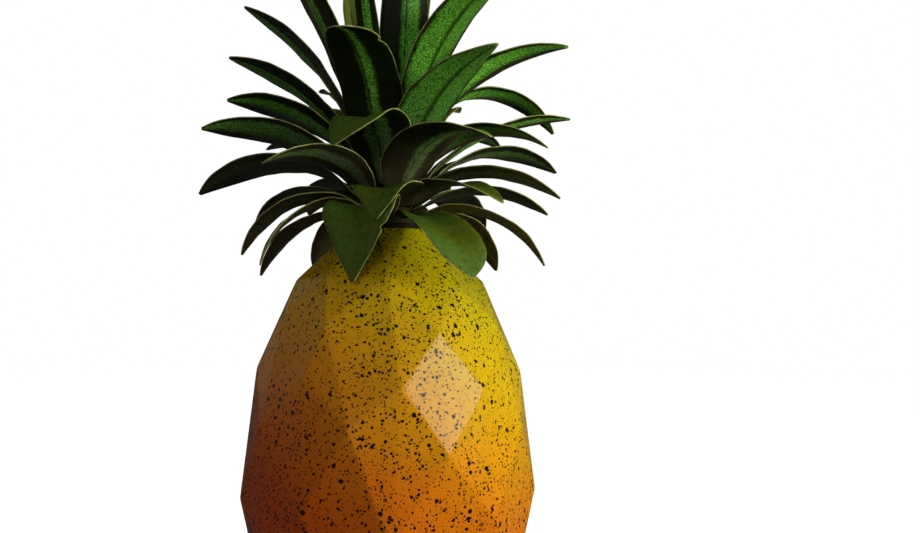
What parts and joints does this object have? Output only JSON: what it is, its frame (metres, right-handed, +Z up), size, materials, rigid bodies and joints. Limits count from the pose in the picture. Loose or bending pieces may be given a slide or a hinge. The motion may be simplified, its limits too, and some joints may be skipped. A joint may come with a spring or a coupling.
{
  "type": "decorative pineapple",
  "caption": "Free-standing artificial pineapple ornament: glossy faceted fruit body on a felt foot, with a lift-out, turning crown of thin arching leaves.",
  "frame": {"origin": "centre of the felt pad's underside, on the surface the ornament stands on", "axes": "+Z up along the fruit's and the crown's axis; the front, as usually seen, faces -Y; +X to the viewer's right"},
  "size_m": [0.1538, 0.133, 0.2882],
  "materials": {
    "fruit_paint": "glossy, yellow-green at the shoulder to orange below, black specks",
    "leaf_green": "satin dark green with a mottled lighter midrib and pale cut edges",
    "core_brown": "matt",
    "dark_plastic": "matt",
    "steel": "satin",
    "iron": "as cast",
    "felt": "wool felt"
  },
  "bodies": {
    "fruit": {"fruit_shell": "fruit_paint", "base_plate": "dark_plastic", "base_screw": "steel", "base_weight": "iron", "felt_pad": "felt", "crown_socket": "dark_plastic"},
    "plug": {"crown_plug": "dark_plastic"},
    "crown": {"crown_stem": "steel", "stem_clip": "steel", "crown_core": "core_brown", "leaf_1_1": "leaf_green", "leaf_1_2": "leaf_green", "leaf_1_3": "leaf_green", "leaf_1_4": "leaf_green", "leaf_1_5": "leaf_green", "leaf_1_6": "leaf_green", "leaf_1_7": "leaf_green", "leaf_1_8": "leaf_green", "leaf_2_1": "leaf_green", "leaf_2_2": "leaf_green", "leaf_2_3": "leaf_green", "leaf_2_4": "leaf_green", "leaf_2_5": "leaf_green", "leaf_2_6": "leaf_green", "leaf_2_7": "leaf_green", "leaf_3_1": "leaf_green", "leaf_3_2": "leaf_green", "leaf_3_3": "leaf_green", "leaf_3_4": "leaf_green", "leaf_3_5": "leaf_green", "leaf_3_6": "leaf_green", "leaf_3_7": "leaf_green", "leaf_4_1": "leaf_green", "leaf_4_2": "leaf_green", "leaf_4_3": "leaf_green", "leaf_4_4": "leaf_green", "leaf_4_5": "leaf_green", "leaf_4_6": "leaf_green", "leaf_4_7": "leaf_green", "leaf_5_1": "leaf_green", "leaf_5_2": "leaf_green", "leaf_5_3": "leaf_green", "leaf_5_4": "leaf_green", "leaf_5_5": "leaf_green", "leaf_5_6": "leaf_green", "leaf_6_1": "leaf_green", "leaf_6_2": "leaf_green", "leaf_6_3": "leaf_green", "leaf_6_4": "leaf_green", "leaf_6_5": "leaf_green", "leaf_7_1": "leaf_green", "leaf_7_2": "leaf_green", "leaf_7_3": "leaf_green", "leaf_7_4": "leaf_green", "leaf_7_5": "leaf_green", "leaf_8_1": "leaf_green", "leaf_8_2": "leaf_green", "leaf_8_3": "leaf_green"}
  },
  "joints": [
    {"name": "crown_lift", "type": "slide", "parent": "fruit", "child": "plug", "axis": [0, 0, 1], "range_m": [0, 0.06]},
    {"name": "crown_turn", "type": "hinge", "parent": "plug", "child": "crown", "pos_m": [0, 0, 0.17], "axis": [0, 0, 1], "continuous": true}
  ]
}
